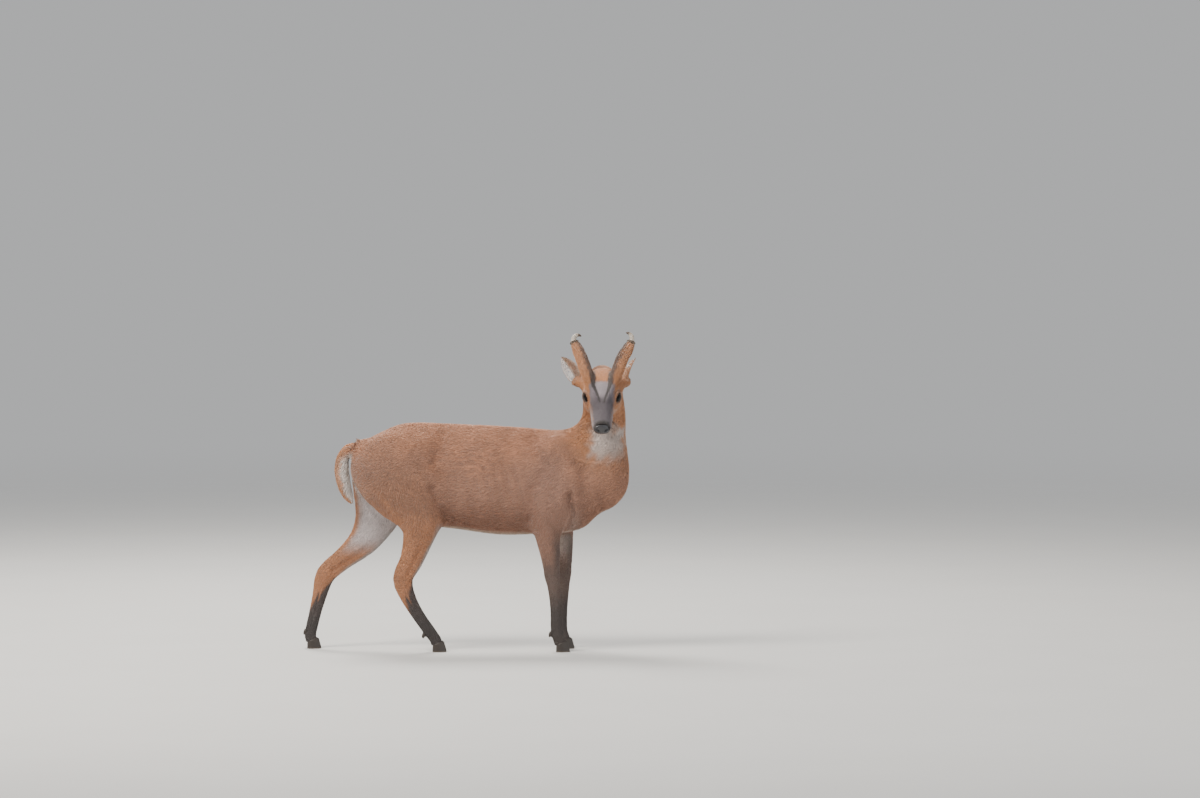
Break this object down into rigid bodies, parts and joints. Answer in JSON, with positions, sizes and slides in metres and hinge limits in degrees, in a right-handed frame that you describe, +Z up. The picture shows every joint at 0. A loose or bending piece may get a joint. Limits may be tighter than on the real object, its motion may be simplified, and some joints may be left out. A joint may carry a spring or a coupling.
{
  "type": "muntjac",
  "caption": "A life-size still model of a muntjac buck that stands on four legs with its head turned to its right.",
  "frame": {"origin": "the middle of the model's box, on the floor that its hooves stand on", "axes": "+X is the way the body faces, +Y is its left side and +Z is up"},
  "size_m": [0.8366, 0.269, 0.8001],
  "materials": {
    "red_coat": "matt",
    "dark_coat": "matt",
    "horn": "satin",
    "hoof": "satin",
    "eye": "wet gloss"
  },
  "bodies": {
    "root": {"torso": "red_coat", "neck": "red_coat", "head": "red_coat", "nose": "dark_coat", "tail": "red_coat", "pedicle_right": "red_coat", "antler_right": "horn", "ear_right": "red_coat", "eye_right": "eye", "pedicle_left": "red_coat", "antler_left": "horn", "ear_left": "red_coat", "eye_left": "eye", "right_fore_leg": "red_coat", "right_fore_shank": "dark_coat", "right_fore_hoof_inner": "hoof", "right_fore_hoof_outer": "hoof", "left_fore_leg": "red_coat", "left_fore_shank": "dark_coat", "left_fore_hoof_inner": "hoof", "left_fore_hoof_outer": "hoof", "right_hind_leg": "red_coat", "right_hind_shank": "dark_coat", "right_hind_hoof_inner": "hoof", "right_hind_hoof_outer": "hoof", "left_hind_leg": "red_coat", "left_hind_shank": "dark_coat", "left_hind_hoof_inner": "hoof", "left_hind_hoof_outer": "hoof"}
  },
  "joints": []
}
